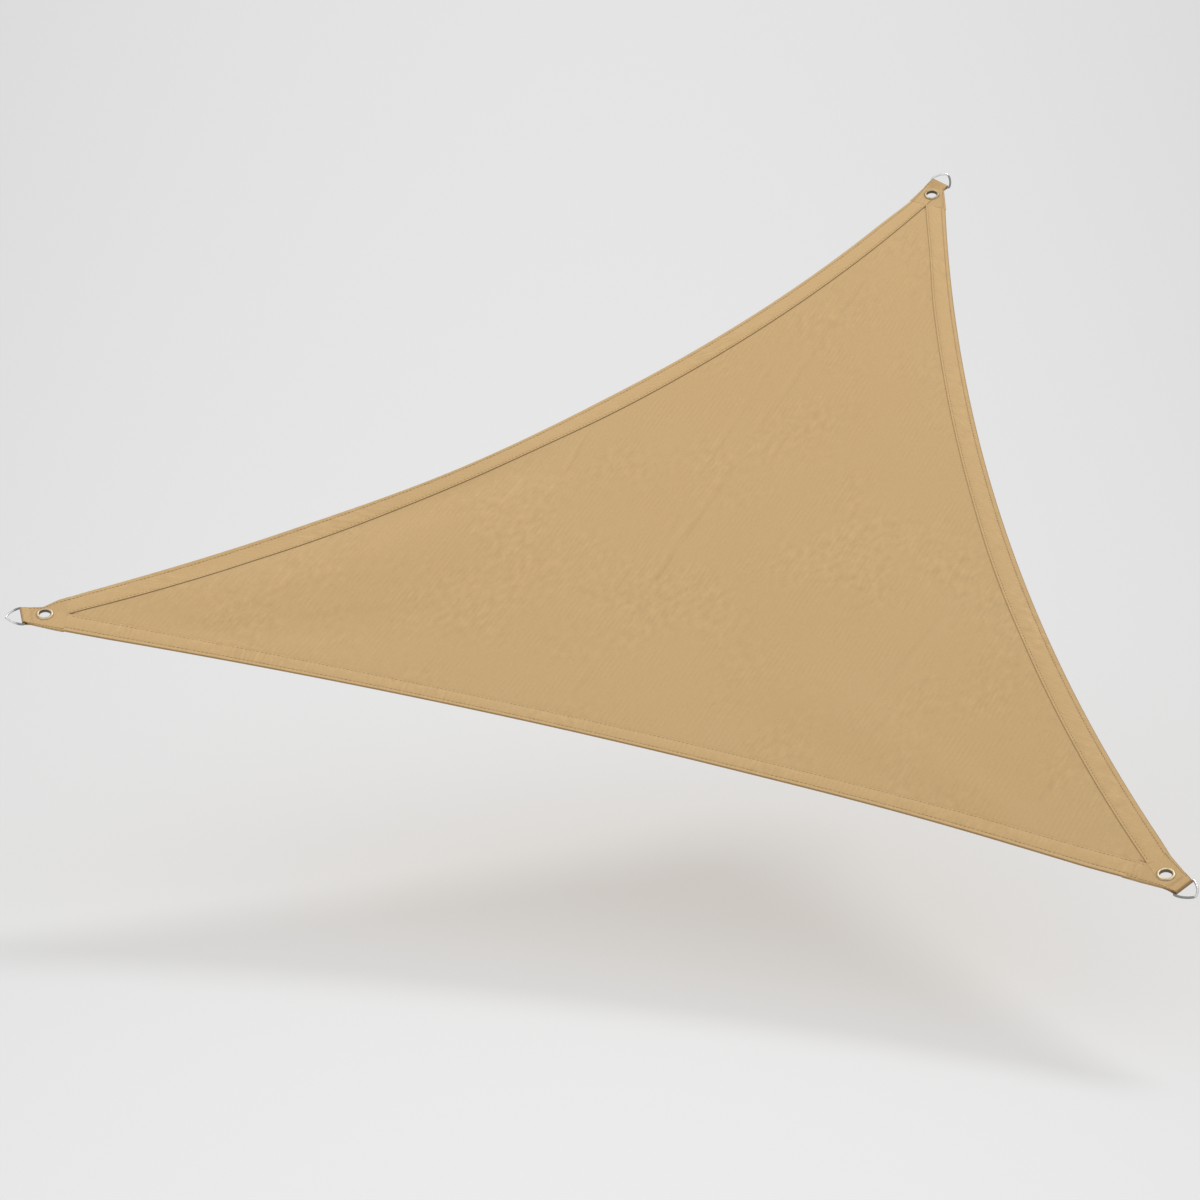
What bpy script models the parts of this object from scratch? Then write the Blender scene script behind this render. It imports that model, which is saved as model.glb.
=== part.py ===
"""A three-cornered shade sail: knitted cloth with hollow edges, stretched between three points at three heights.

A wide hem is turned up along each edge. At each corner a strap of the same cloth is folded round the bar of a wire
ring, lies over both faces of the cloth's corner, and holds an eyelet. Metres, +Z up, +Y away from the viewer. The
origin is where a hook bears in the nose of the top corner's ring.

The cloth is laid out on the plane through the three eyelets, in shares of that triangle's corners, and then lifted:
it sags between the corners, and it has the soft ridges and the packing creases of a sail that was folded.
"""

import math

import bmesh
import bpy
from mathutils import Euler, Matrix, Vector

# Each eyelet's place from the top one, how far in from it the hem's inner lines meet, how far out from it the strap
# starts to widen on the side of the next corner, how far in the strap ends, half the strap's width at the ring, and
# the degrees by which the ring's pull turns the strap: about its own length, down, and sideways.
CORNERS = {
    # name: (x, y, z, hem_meets, widens, strap_end, half, twist, tip, turn)
    "left": (-1.858, -1.156, -0.687, 0.048, 0.004, 0.045, 0.0225, 0.0, -3.0, 9.0),
    "top": (0.0, 0.0, 0.0, 0.0385, 0.027, 0.037, 0.0195, 11.0, -5.0, -11.0),
    "right": (0.260, -1.965, -0.962, 0.048, 0.0415, 0.047, 0.0200, 10.0, 1.0, -5.0),
}
# Each edge starts at the corner it is named for and runs clockwise, seen from above. It passes its two eyelets at
# the distances out_start and out_end and is hollow between them; the lean moves the deepest place towards the edge's
# far end. The hem's width is measured at mid-edge, and its inner line has a lean of its own.
EDGES = {
    # start: (end, out_start, out_end, hollow, lean, hem_width, hem_lean)
    "left": ("top", 0.0344, 0.0326, 0.1077, 0.208, 0.0507, 0.166),
    "top": ("right", 0.0300, 0.0319, 0.0947, 0.0, 0.0476, 0.025),
    "right": ("left", 0.0415, 0.0425, 0.1254, -0.020, 0.0441, -0.078),
}
# Where the cloth's edges and the hems' inner lines dip further in than the hollow, as shares of the edge's length.
EDGE_DENTS = {
    # start: ((middle, half, depth), ...)
    "left": ((0.0, 0.05, 0.0035), (0.42, 0.17, 0.0058), (1.0, 0.07, 0.0055)),
    "top": ((1.0, 0.05, 0.0025),),
    "right": ((0.0, 0.07, 0.0050), (0.22, 0.16, 0.0024), (1.0, 0.07, 0.0024)),
}
LINE_DENTS = {
    "left": ((0.10, 0.09, 0.0050), (0.40, 0.20, -0.0053)),
    "top": ((0.08, 0.08, -0.0030), (0.57, 0.12, 0.0017)),
    "right": ((0.08, 0.09, -0.0030),),
}
SAG = 0.048  # how far each edge hangs at its middle

CLOTH = 0.0015
HEM = 0.0027
HEM_STEP = 0.002  # the width of the slope from the panel up to the hem
CORNER_SINE = 0.37  # of half the angle between two hems' inner lines
PANEL_STEPS = 48  # points along each side of the panel
CLOTH_END = 0.026  # from the eyelet in to the end of the cloth between the strap's plies

PLY = 0.0015
GAP = 0.0003
STRAP_SLANT = 6.0  # how much longer the strap is at one side, per metre from its middle
LOOSE = 0.0005  # the gap between a ply and what it is folded over
PLIES_MEET = 0.0185  # the plies lie on each other this far to each side of the eyelet
LOOP_STARTS = 0.026  # where the plies part again, towards the ring's bar
LOOP_SEGMENTS = 10
STRAP_CUTS = 2  # across its width

BAR_OUT = 0.043  # from the eyelet to the middle of the ring's bar
WIRE = 0.0023  # radius
RING_WIDER = 0.003
RING_BEND = 0.0032
RING_DEPTH = 0.0335
RING_SHAPE = 1.45  # 2 bends the arms as an ellipse, 1 leaves them straight
BEND_STEPS = 4
ARM_STEPS = 9

EYE_HOLE = 0.0115
EYE_BARREL = 0.0123
EYE_FLANGE = 0.0176
EYE_THICK = 0.0022
EYE_CLEARANCE = 0.00045  # between the barrel and the hole in the strap
EYE_SEGMENTS = 24

# Ridges (height over 0) and creases (height under 0), from one place to another, each place given by the top and the
# right corner's share. They are as wide as stated at each end and fade out at both.
FOLDS = [
    # top1, right1, top2, right2, half1, half2, height
    (0.03, 0.02, 0.36, 0.18, 0.04, 0.18, 0.0050),
    (0.06, 0.01, 0.46, 0.09, 0.03, 0.10, -0.0030),
    (0.02, 0.06, 0.16, 0.30, 0.03, 0.12, -0.0030),
    (0.90, 0.05, 0.56, 0.25, 0.04, 0.16, 0.0040),
    (0.03, 0.88, 0.22, 0.46, 0.04, 0.16, 0.0040),
    (0.87, 0.05, 0.06, 0.43, 0.06, 0.08, -0.0030),
    (0.77, 0.06, 0.25, 0.33, 0.06, 0.07, -0.0015),
]
SHARP = 0.3  # of a crease's depth that lies in its narrow middle

SAND = (0.58, 0.39, 0.19, 1.0)
STEEL = (0.62, 0.63, 0.64, 1.0)


def smooth(t):
    """From 0 to 1 with level ends."""
    t = min(max(t, 0.0), 1.0)
    return t * t * (3 - 2 * t)


# The plane of the three eyelets

EYES = {name: Vector(row[:3]) for name, row in CORNERS.items()}
CENTRE = sum(EYES.values(), Vector()) / 3
PLANE_UP = (EYES["right"] - EYES["left"]).cross(EYES["top"] - EYES["left"]).normalized()
DOWN = Vector((0, 0, -1))


def out_from(name):
    """The direction in the plane from the middle of the far edge out to a corner."""
    return (EYES[name] - CENTRE).normalized()


def shares(point):
    """How much of each corner a point in the plane has; the three add up to 1."""
    a, b, c = EYES.values()
    area = (b - a).cross(c - a).dot(PLANE_UP)
    top = (point - a).cross(c - a).dot(PLANE_UP) / area
    right = (b - a).cross(point - a).dot(PLANE_UP) / area
    return 1 - top - right, top, right


def place(top, right):
    """The point in the plane that has these shares of the top and the right corner."""
    return EYES["left"] * (1 - top - right) + EYES["top"] * top + EYES["right"] * right


def fold_height(point, fold):
    """What one ridge or crease adds at a point in the plane."""
    top1, right1, top2, right2, half1, half2, height = fold
    start = place(top1, right1)
    line = place(top2, right2) - start
    along = (point - start).dot(line) / line.length_squared
    if not 0 < along < 1:
        return 0.0
    half = half1 + (half2 - half1) * along
    across = (point - start - line * along).length / half
    if across >= 1:
        return 0.0
    bump = (1 - across**2) ** 2
    if height < 0:
        bump = (1 - SHARP) * bump + SHARP * (1 - across) ** 3
    ends = smooth(along / 0.25) * smooth((1 - along) / 0.25)
    return height * bump * ends


def lifted(point):
    """The place in space of a point in the plane."""
    left, top, right = shares(point)
    hang = 4 * SAG * (left * top + top * right + right * left)
    relief = sum(fold_height(point, fold) for fold in FOLDS)
    return point + DOWN * hang + PLANE_UP * relief


def frame_at(point, ahead):
    """The cloth's own axes at a point: ahead along it, sideways along it, and square to it."""
    reach = 0.004
    side = PLANE_UP.cross(ahead)
    x = (lifted(point + ahead * reach) - lifted(point - ahead * reach)).normalized()
    y = (lifted(point + side * reach) - lifted(point - side * reach)).normalized()
    up = x.cross(y).normalized()
    return x, up.cross(x), up


def corner_matrix(name):
    """A corner's frame at its eyelet: X out along the strap, Z up from the cloth."""
    axes = Matrix(frame_at(EYES[name], out_from(name))).transposed().to_4x4()
    return Matrix.Translation(lifted(EYES[name]) - ORIGIN) @ axes


def pulled_matrix(name, away):
    """The corner's frame as the ring's pull bends it, at a distance out from the eyelet."""
    share = min(max((away - PLIES_MEET) / (BAR_OUT - PLIES_MEET), 0.0), 1.0)
    turns = Euler([math.radians(turn) * share for turn in CORNERS[name][7:]])
    bend = Matrix.Translation((PLIES_MEET, 0, 0))
    return corner_matrix(name) @ bend @ turns.to_matrix().to_4x4() @ bend.inverted()


# The outline


def inward(start):
    """The direction in the plane from an edge's straight line towards the middle of the sail."""
    end = EDGES[start][0]
    side = PLANE_UP.cross(EYES[end] - EYES[start]).normalized()
    return side if side.dot(CENTRE - EYES[start]) > 0 else -side


def uneven(dents, s):
    """How far in its dents take a line, at a share of its edge's length."""
    total = 0.0
    for middle, half, depth in dents:
        away = (s - middle) / half
        if abs(away) < 1:
            total += depth * (1 - away**2) ** 2
    return total


def edge_point(start, s):
    """A point on the cloth's outer edge, s from 0 at the eyelet of its start to 1 at the next one."""
    end, out_start, out_end, hollow, lean, _, _ = EDGES[start]
    dip = 4 * hollow * s * (1 - s) * (1 + lean * (2 * s - 1))
    dip += uneven(EDGE_DENTS[start], s) - out_start * (1 - s) - out_end * s
    return EYES[start].lerp(EYES[end], s) + inward(start) * dip


def hem_corner(name, inset):
    """Where a corner's two lines meet that lie this far inside the inner lines of the hems."""
    return EYES[name] - out_from(name) * (CORNERS[name][3] + inset / CORNER_SINE)


def hem_hollow(start, inset):
    """The depth of the line this far inside the hem's inner line, which leaves the hem its width at mid-edge."""
    end, out_start, out_end, hollow, _, width, _ = EDGES[start]
    middle = (EYES[start] + EYES[end]) / 2
    middle += inward(start) * (hollow - (out_start + out_end) / 2 + width + inset)
    straight = (hem_corner(start, inset) + hem_corner(end, inset)) / 2
    return (middle - straight).dot(inward(start))


def panel_point(share, inset):
    """A point inside the hems, from its shares of the three hem corners."""
    names = list(CORNERS)
    point = sum((hem_corner(n, inset) * w for n, w in zip(names, share)), Vector())
    for start, row in EDGES.items():
        a, b = share[names.index(start)], share[names.index(row[0])]
        dip = 4 * hem_hollow(start, inset) * a * b * (1 + row[6] * (b - a))
        if a + b > 0.75:
            dip += uneven(LINE_DENTS[start], b / (a + b)) * smooth((a + b - 0.75) * 4)
        point += inward(start) * dip
    return point


def edge_near(name, on_next):
    """Two places on the cloth's edge near a corner, as (share of the edge, distance out, distance beside)."""
    before = next(start for start, row in EDGES.items() if row[0] == name)
    ahead, side = out_from(name), PLANE_UP.cross(out_from(name))
    near = []
    for s in (0.0, 0.03):
        point = edge_point(name, s) if on_next else edge_point(before, 1 - s)
        point -= EYES[name]
        near.append((s, point.dot(ahead), abs(point.dot(side))))
    return near


def edge_beside(name, away, on_next):
    """How far the cloth's edge lies from a corner's middle line, at a distance out from the eyelet."""
    (_, a0, b0), (_, a1, b1) = edge_near(name, on_next)
    return b0 + (away - a0) * (b1 - b0) / (a1 - a0)


def end_share(name, on_next):
    """How far along its edge from a corner the cloth ends, between the plies of the strap."""
    (_, a0, _), (s, a1, _) = edge_near(name, on_next)
    return s * (a0 + CLOTH_END) / (a0 - a1)


ORIGIN = Vector()
ORIGIN = pulled_matrix("top", BAR_OUT) @ Vector((BAR_OUT + RING_DEPTH - WIRE, 0, 0))


# Making objects


def material(name, colour, roughness, metallic=0.0):
    made = bpy.data.materials.new(name)
    made.use_nodes = True
    shader = made.node_tree.nodes["Principled BSDF"]
    shader.inputs["Base Color"].default_value = colour
    shader.inputs["Roughness"].default_value = roughness
    shader.inputs["Metallic"].default_value = metallic
    return made


def new_collection(name):
    made = bpy.data.collections.new(name)
    bpy.context.scene.collection.children.link(made)
    return made


def add_object(name, data, collection, finish=None, matrix=None):
    made = bpy.data.objects.new(name, data)
    if finish:
        data.materials.append(finish)
    if matrix:
        made.matrix_world = matrix
    collection.objects.link(made)
    return made


def mesh_from(bm, name):
    mesh = bpy.data.meshes.new(name)
    bm.to_mesh(mesh)
    bm.free()
    return mesh


# The cloth


def panel_grid(bm):
    """One triangle, cut into a fine grid; each point keeps its shares of the corners."""
    share = bm.verts.layers.float_vector.new("share")
    corners = [bm.verts.new(row) for row in Matrix.Identity(3)]
    bm.faces.new(corners)
    bmesh.ops.subdivide_edges(
        bm, edges=bm.edges[:], cuts=PANEL_STEPS - 1, use_grid_fill=True
    )
    for v in bm.verts:
        v[share] = v.co
        v.co = panel_point(v.co, HEM_STEP)
    return share


def side_edges(bm, share, start):
    """The edges of the mesh's rim that lie along one side of the panel."""
    along = [list(CORNERS).index(n) for n in (start, EDGES[start][0])]
    return [
        e
        for e in bm.edges
        if e.is_boundary
        and all(abs(sum(v[share][i] for i in along) - 1) < 1e-6 for v in e.verts)
        and (e.verts[0][share] - e.verts[1][share]).length > 1e-6
    ]


def new_verts(made):
    return [g for g in made["geom"] if isinstance(g, bmesh.types.BMVert)]


def add_step(bm, share):
    """Extrudes the panel's rim out to the hems' inner lines, and returns the new points."""
    rim = [e for e in bm.edges if e.is_boundary]
    new = new_verts(bmesh.ops.extrude_edge_only(bm, edges=rim))
    for v in new:
        v.co = panel_point(v[share], 0.0)
    return new


def add_hem(bm, share, start):
    """Extrudes one side out to the cloth's edge, and returns the new points."""
    made = bmesh.ops.extrude_edge_only(bm, edges=side_edges(bm, share, start))
    towards = list(CORNERS).index(EDGES[start][0])
    first, last = end_share(start, True), 1 - end_share(EDGES[start][0], False)
    new = new_verts(made)
    for v in new:
        v.co = edge_point(start, first + (last - first) * v[share][towards])
    return new


def close_corner(bm, share, index, step, hems):
    """Fills the corner between the ends of two hems."""
    ends = [v for v in step + hems if v[share][index] > 1 - 1e-6]
    bmesh.ops.contextual_create(bm, geom=ends)


def make_cloth(collection, finish):
    bm = bmesh.new()
    share = panel_grid(bm)
    step = add_step(bm, share)
    hems = []
    for start in EDGES:
        hems += add_hem(bm, share, start)
    for index in range(len(CORNERS)):
        close_corner(bm, share, index, step, hems)
    for v in bm.verts:
        v.co = lifted(v.co) - ORIGIN
    bmesh.ops.recalc_face_normals(bm, faces=bm.faces[:])
    bm.normal_update()
    if sum((f.normal for f in bm.faces), Vector()).z < 0:
        bmesh.ops.reverse_faces(bm, faces=bm.faces[:])
        bm.normal_update()
    for v in bm.verts:
        v.co -= v.normal * HEM / 2
    bm.verts.index_update()
    doubled = [v.index for v in step + hems]
    cloth = add_object("sail_cloth", mesh_from(bm, "sail_cloth"), collection, finish)
    group = cloth.vertex_groups.new(name="hem")
    group.add(doubled, 1.0, "REPLACE")
    thick = cloth.modifiers.new("thickness", "SOLIDIFY")
    thick.thickness = HEM
    thick.offset = 1.0
    thick.vertex_group = group.name
    thick.thickness_vertex_group = CLOTH / HEM
    return cloth


# The corner straps


def strap_side(name, away, on_next):
    """The strap's edge on one side of its middle line; it widens in a straight line up to the cloth's own edge."""
    ends = CORNERS[name][4] if on_next else BAR_OUT
    half = CORNERS[name][6]
    if away < -CLOTH_END:
        half = edge_beside(name, away, on_next)
    elif away < ends:
        wide = edge_beside(name, -CLOTH_END, on_next)
        half += (wide - half) * (ends - away) / (ends + CLOTH_END)
    return -half if on_next else half


def ply_height(away):
    """The middle of the upper ply over the strap's middle plane, at a distance out from the eyelet."""
    together = (PLY + GAP) / 2
    over_cloth = HEM / 2 + LOOSE + PLY / 2
    round_bar = WIRE + LOOSE + PLY / 2
    if away < 0:
        return together + (over_cloth - together) * smooth(
            (-PLIES_MEET - away) / (CLOTH_END - 0.001 - PLIES_MEET)
        )
    return together + (round_bar - together) * smooth(
        (away - LOOP_STARTS) / (BAR_OUT - LOOP_STARTS)
    )


def strap_path(name):
    """The strap's side view as (distance out, height), from the upper ply's end round the bar to the lower one's."""
    ends = CORNERS[name][4]
    stations = {-CORNERS[name][5], -0.034, -CLOTH_END, -0.0235, -0.021, -PLIES_MEET, 0.0}
    stations |= {PLIES_MEET, LOOP_STARTS, 0.030, 0.0335, 0.037, 0.040, ends}
    upper = [(away, ply_height(away)) for away in sorted(stations)]
    radius = WIRE + LOOSE + PLY / 2
    turn = [
        math.pi * (0.5 - i / LOOP_SEGMENTS) for i in range(LOOP_SEGMENTS + 1)
    ]
    loop = [(BAR_OUT + radius * math.cos(t), radius * math.sin(t)) for t in turn]
    lower = [(away, -height) for away, height in reversed(upper)]
    return upper + loop + lower


def strap_point(name, away, height, on_next):
    """A point of the strap's edge; its inner end is cut on a slant."""
    if away < -CLOTH_END:
        slant = 1 - STRAP_SLANT * strap_side(name, away, on_next)
        away = -CLOTH_END + (away + CLOTH_END) * slant
    side = strap_side(name, away, on_next)
    return pulled_matrix(name, away) @ Vector((away, side, height))


def make_strap(name, collection, cutters, finish):
    path = strap_path(name)
    bm = bmesh.new()
    row = [
        bm.verts.new(strap_point(name, away, height, True)) for away, height in path
    ]
    edges = [bm.edges.new(pair) for pair in zip(row, row[1:])]
    made = bmesh.ops.extrude_edge_only(bm, edges=edges)
    beside = {tuple(v.co): step for v, step in zip(row, path)}
    for v in new_verts(made):
        away, height = beside[tuple(v.co)]
        v.co = strap_point(name, away, height, False)
    across = [e for e in bm.edges if len({v in row for v in e.verts}) == 2]
    bmesh.ops.subdivide_edges(bm, edges=across, cuts=STRAP_CUTS)
    bmesh.ops.recalc_face_normals(bm, faces=bm.faces[:])
    strap = add_object(
        f"corner_strap_{name}", mesh_from(bm, f"corner_strap_{name}"), collection, finish
    )
    thick = strap.modifiers.new("thickness", "SOLIDIFY")
    thick.thickness = PLY
    thick.offset = 0.0
    thick.use_even_offset = True

    bm = bmesh.new()
    bmesh.ops.create_cone(
        bm,
        cap_ends=True,
        segments=32,
        radius1=EYE_BARREL + EYE_CLEARANCE,
        radius2=EYE_BARREL + EYE_CLEARANCE,
        depth=0.03,
    )
    cutter = add_object(
        f"eyelet_cutter_{name}",
        mesh_from(bm, f"eyelet_cutter_{name}"),
        cutters,
        matrix=corner_matrix(name),
    )
    cutter.hide_render = True
    cutter.display_type = "WIRE"
    hole = strap.modifiers.new("eyelet hole", "BOOLEAN")
    hole.object = cutter
    hole.operation = "DIFFERENCE"
    hole.solver = "EXACT"
    return strap


# The eyelets and the rings


def make_eyelet(name, collection, finish):
    under = PLY + 1.5 * GAP
    top = under + EYE_THICK
    half = [
        (EYE_HOLE, top - 0.0014),
        (EYE_HOLE + 0.0007, top - 0.0005),
        (EYE_HOLE + 0.0020, top),
        (EYE_FLANGE - 0.0022, top),
        (EYE_FLANGE - 0.0007, top - 0.0011),
        (EYE_FLANGE, under),
        (EYE_BARREL, under),
    ]
    profile = [(r, -z) for r, z in half] + half[::-1]
    bm = bmesh.new()
    points = [bm.verts.new((r, 0, z)) for r, z in profile]
    for pair in zip(points, points[1:] + points[:1]):
        bm.edges.new(pair)
    eyelet = add_object(
        f"eyelet_{name}",
        mesh_from(bm, f"eyelet_{name}"),
        collection,
        finish,
        corner_matrix(name),
    )
    turned = eyelet.modifiers.new("turned", "SCREW")
    turned.steps = turned.render_steps = EYE_SEGMENTS
    turned.use_merge_vertices = True
    turned.merge_threshold = 0.00001
    turned.use_normal_flip = True
    return eyelet


def ring_line(wide):
    """The middle line of a ring's wire, in its own plane, X out from the bar."""
    straight = wide - RING_BEND
    half = [Vector((0, 0)), Vector((0, straight * 0.55))]
    for i in range(BEND_STEPS + 1):
        t = math.pi / 2 * i / BEND_STEPS
        half.append(
            Vector(
                (RING_BEND * (1 - math.cos(t)), straight + RING_BEND * math.sin(t))
            )
        )
    for i in range(1, ARM_STEPS + 1):
        t = math.pi / 2 * i / ARM_STEPS
        x = math.sin(t) ** (2 / RING_SHAPE) * (RING_DEPTH - RING_BEND)
        y = math.cos(t) ** (2 / RING_SHAPE) * wide if i < ARM_STEPS else 0.0
        half.append(Vector((RING_BEND + x, y)))
    other = [Vector((p.x, -p.y)) for p in reversed(half[1:-1])]
    return half + other


def make_ring(name, collection, finish):
    curve = bpy.data.curves.new(f"ring_{name}", "CURVE")
    curve.dimensions = "3D"
    curve.bevel_depth = WIRE
    curve.bevel_resolution = 2
    line = ring_line(CORNERS[name][6] + RING_WIDER)
    spline = curve.splines.new("POLY")
    spline.points.add(len(line) - 1)
    for point, place_on_line in zip(spline.points, line):
        point.co = (place_on_line.x, place_on_line.y, 0, 1)
    spline.use_cyclic_u = True
    return add_object(
        f"ring_{name}",
        curve,
        collection,
        finish,
        pulled_matrix(name, BAR_OUT) @ Matrix.Translation((BAR_OUT, 0, 0)),
    )


def main():
    for o in list(bpy.data.objects):
        bpy.data.objects.remove(o, do_unlink=True)
    sail = new_collection("shade_sail")
    cutters = new_collection("cutters")
    cloth = material("shade_cloth", SAND, 0.85)
    strap = material("strap_cloth", SAND, 0.8)
    steel = material("bright_steel", STEEL, 0.25, 1.0)
    make_cloth(sail, cloth)
    for name in CORNERS:
        make_strap(name, sail, cutters, strap)
        make_eyelet(name, sail, steel)
        make_ring(name, sail, steel)


main()
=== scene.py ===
"""The looks of a three-cornered shade sail: sand knitted cloth with sewn hems, straps, eyelets and rings.

The cloth, the straps and the metal are laid out by the same measures as the solids they stand for.
Metres, +Z up. The viewer looks along +Y, and the origin is where a hook bears in the nose of the top ring.
"""

import math  # noqa: E402

import bmesh  # noqa: E402
import bpy  # noqa: E402
from mathutils import Euler, Matrix, Vector  # noqa: E402


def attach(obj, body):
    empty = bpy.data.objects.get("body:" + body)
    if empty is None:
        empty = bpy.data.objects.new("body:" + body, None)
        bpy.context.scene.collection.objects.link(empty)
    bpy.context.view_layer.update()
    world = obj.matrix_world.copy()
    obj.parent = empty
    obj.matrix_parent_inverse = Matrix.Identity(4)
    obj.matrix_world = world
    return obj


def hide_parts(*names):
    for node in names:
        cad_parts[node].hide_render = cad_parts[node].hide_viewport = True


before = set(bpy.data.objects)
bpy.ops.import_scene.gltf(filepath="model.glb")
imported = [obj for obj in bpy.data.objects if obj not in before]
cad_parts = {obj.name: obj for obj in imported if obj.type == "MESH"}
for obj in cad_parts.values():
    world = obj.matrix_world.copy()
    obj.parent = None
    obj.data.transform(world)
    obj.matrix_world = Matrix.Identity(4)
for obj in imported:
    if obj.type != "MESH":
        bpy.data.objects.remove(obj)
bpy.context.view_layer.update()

# ------------------------------------------------------------------ measures shared with the solids

CORNERS = {
    # name: (x, y, z, hem_meets, widens, strap_end, half, twist, tip, turn)
    "left": (-1.858, -1.156, -0.687, 0.048, 0.004, 0.045, 0.0225, 0.0, -3.0, 9.0),
    "top": (0.0, 0.0, 0.0, 0.0385, 0.027, 0.037, 0.0195, 11.0, -5.0, -11.0),
    "right": (0.260, -1.965, -0.962, 0.048, 0.0415, 0.047, 0.0200, 10.0, 1.0, -5.0),
}
EDGES = {
    # start: (end, out_start, out_end, hollow, lean, hem_width, hem_lean)
    "left": ("top", 0.0344, 0.0326, 0.1077, 0.208, 0.0507, 0.166),
    "top": ("right", 0.0300, 0.0319, 0.0947, 0.0, 0.0476, 0.025),
    "right": ("left", 0.0415, 0.0425, 0.1254, -0.020, 0.0441, -0.078),
}
EDGE_DENTS = {
    # start: ((middle, half, depth), ...)
    "left": ((0.0, 0.05, 0.0035), (0.42, 0.17, 0.0058), (1.0, 0.07, 0.0055)),
    "top": ((1.0, 0.05, 0.0025),),
    "right": ((0.0, 0.07, 0.0050), (0.22, 0.16, 0.0024), (1.0, 0.07, 0.0024)),
}
LINE_DENTS = {
    "left": ((0.10, 0.09, 0.0050), (0.40, 0.20, -0.0053)),
    "top": ((0.08, 0.08, -0.0030), (0.57, 0.12, 0.0017)),
    "right": ((0.08, 0.09, -0.0030),),
}
SAG = 0.048
CLOTH = 0.0015
HEM = 0.0027
CORNER_SINE = 0.37
CLOTH_END = 0.026

PLY = 0.0015
GAP = 0.0003
STRAP_SLANT = 6.0
LOOSE = 0.0005
PLIES_MEET = 0.0185
LOOP_STARTS = 0.026

BAR_OUT = 0.043
WIRE = 0.0023
RING_WIDER = 0.003
RING_BEND = 0.0032
RING_DEPTH = 0.0335
RING_SHAPE = 1.45

EYE_HOLE = 0.0115
EYE_BARREL = 0.0123
EYE_FLANGE = 0.0176
EYE_THICK = 0.0022
EYE_CLEARANCE = 0.00045

FOLDS = [
    # top1, right1, top2, right2, half1, half2, height: the solid's own ridges and creases
    (0.03, 0.02, 0.36, 0.18, 0.04, 0.18, 0.0050),
    (0.06, 0.01, 0.46, 0.09, 0.03, 0.10, -0.0030),
    (0.02, 0.06, 0.16, 0.30, 0.03, 0.12, -0.0030),
    (0.90, 0.05, 0.56, 0.25, 0.04, 0.16, 0.0040),
    (0.03, 0.88, 0.22, 0.46, 0.04, 0.16, 0.0040),
    (0.87, 0.05, 0.06, 0.43, 0.06, 0.08, -0.0030),
    (0.77, 0.06, 0.25, 0.33, 0.06, 0.07, -0.0015),
    # the valleys to both sides of the ridge that runs in from the left corner
    (0.05, 0.01, 0.48, 0.08, 0.03, 0.08, -0.0028),
    (0.02, 0.06, 0.20, 0.24, 0.03, 0.08, -0.0018),
]
SHARP = 0.3
CREASES = [
    # top1, right1, top2, right2, half, dark: the painted shade and highlight of the narrow creases that the
    # packing left in the cloth
    (0.87, 0.05, 0.52, 0.207, 0.008, 0.040),
    (0.54, 0.198, 0.26, 0.333, 0.010, 0.085),
    (0.29, 0.322, 0.08, 0.420, 0.008, 0.040),
    (0.77, 0.063, 0.45, 0.220, 0.007, 0.030),
    (0.47, 0.206, 0.30, 0.308, 0.007, 0.032),
    (0.52, 0.060, 0.42, 0.120, 0.007, 0.085),
    (0.11, 0.663, 0.17, 0.638, 0.008, 0.045),
    (0.07, 0.840, 0.14, 0.812, 0.008, 0.045),
    (0.18, 0.610, 0.34, 0.550, 0.009, 0.035),
    # the shade of the two valleys beside the ridge that runs in from the left corner
    (0.05, 0.01, 0.50, 0.06, 0.060, 0.060),
    (0.03, 0.08, 0.20, 0.22, 0.045, 0.030),
]

# ------------------------------------------------------------------ measures of the finish

PANEL_STEPS = 200
RIB_PITCH = 0.005
HEM_RINGS = [
    # from the hem's inner line, from the cloth's edge, underside, thickness, smooth
    (-0.0009, None, 0.0, 0.00150, True),
    (0.0, None, 0.0, 0.00150, True),
    (0.0002, None, 0.0, 0.00255, False),
    (0.0010, None, 0.0, 0.00280, True),
    (0.0040, None, 0.0, 0.00275, True),
    (0.0050, None, 0.0, 0.00240, True),
    (0.0060, None, 0.0, 0.00275, True),
    (0.0170, None, 0.0, 0.00290, True),
    (None, 0.0110, 0.0, 0.00280, True),
    (None, 0.0095, 0.0, 0.00235, True),
    (None, 0.0080, 0.0, 0.00280, True),
    (None, 0.0030, 0.0, 0.00290, True),
    (None, 0.0012, 0.0, 0.00275, True),
    (None, 0.0003, 0.00030, 0.00215, True),
    (None, 0.0, 0.0009, 0.00100, True),
]
SEAMS = (0.005, 0.0095)  # the two rows of stitches: from the hem's inner line, and from the cloth's edge
HEM_SHADES = {
    # edge: (how dark the painted shade at its inner line is, how dark the painted shade at its outer fold
    # is)
    "left": (1.0, 0.60),
    "top": (0.36, 0.75),
    "right": (0.45, 1.0),
}
THICKEST = 0.0029
STRAP_LINE_SHADES = {"left": 0.0, "top": 1.0, "right": 0.25}  # how dark the painted shade line of the hem under a strap is drawn on the strap
STRAP_FOLD_SHADES = {"left": 0.9, "top": 0.9, "right": 1.3}  # how dark the painted shade at a strap's fold round the bar is
RING_DARKENING = {
    # corner: (how much darker its one arm is, how much darker its arms are than its nose, darker all over)
    "left": (0.0, 1.0, -0.25),
    "top": (-1.0, 0.0, 0.10),
    "right": (-1.0, 0.0, 0.15),
}
PUCKER = 0.00022  # how high a hem's puckers stand
PUCKER_LENGTH = 0.055

STITCH_PITCH = 0.0088
STITCH = (0.0031, 0.0006, 0.00045)  # half its length, width and height

# the floor's painted shade: a little darker far off and to the sides
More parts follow.
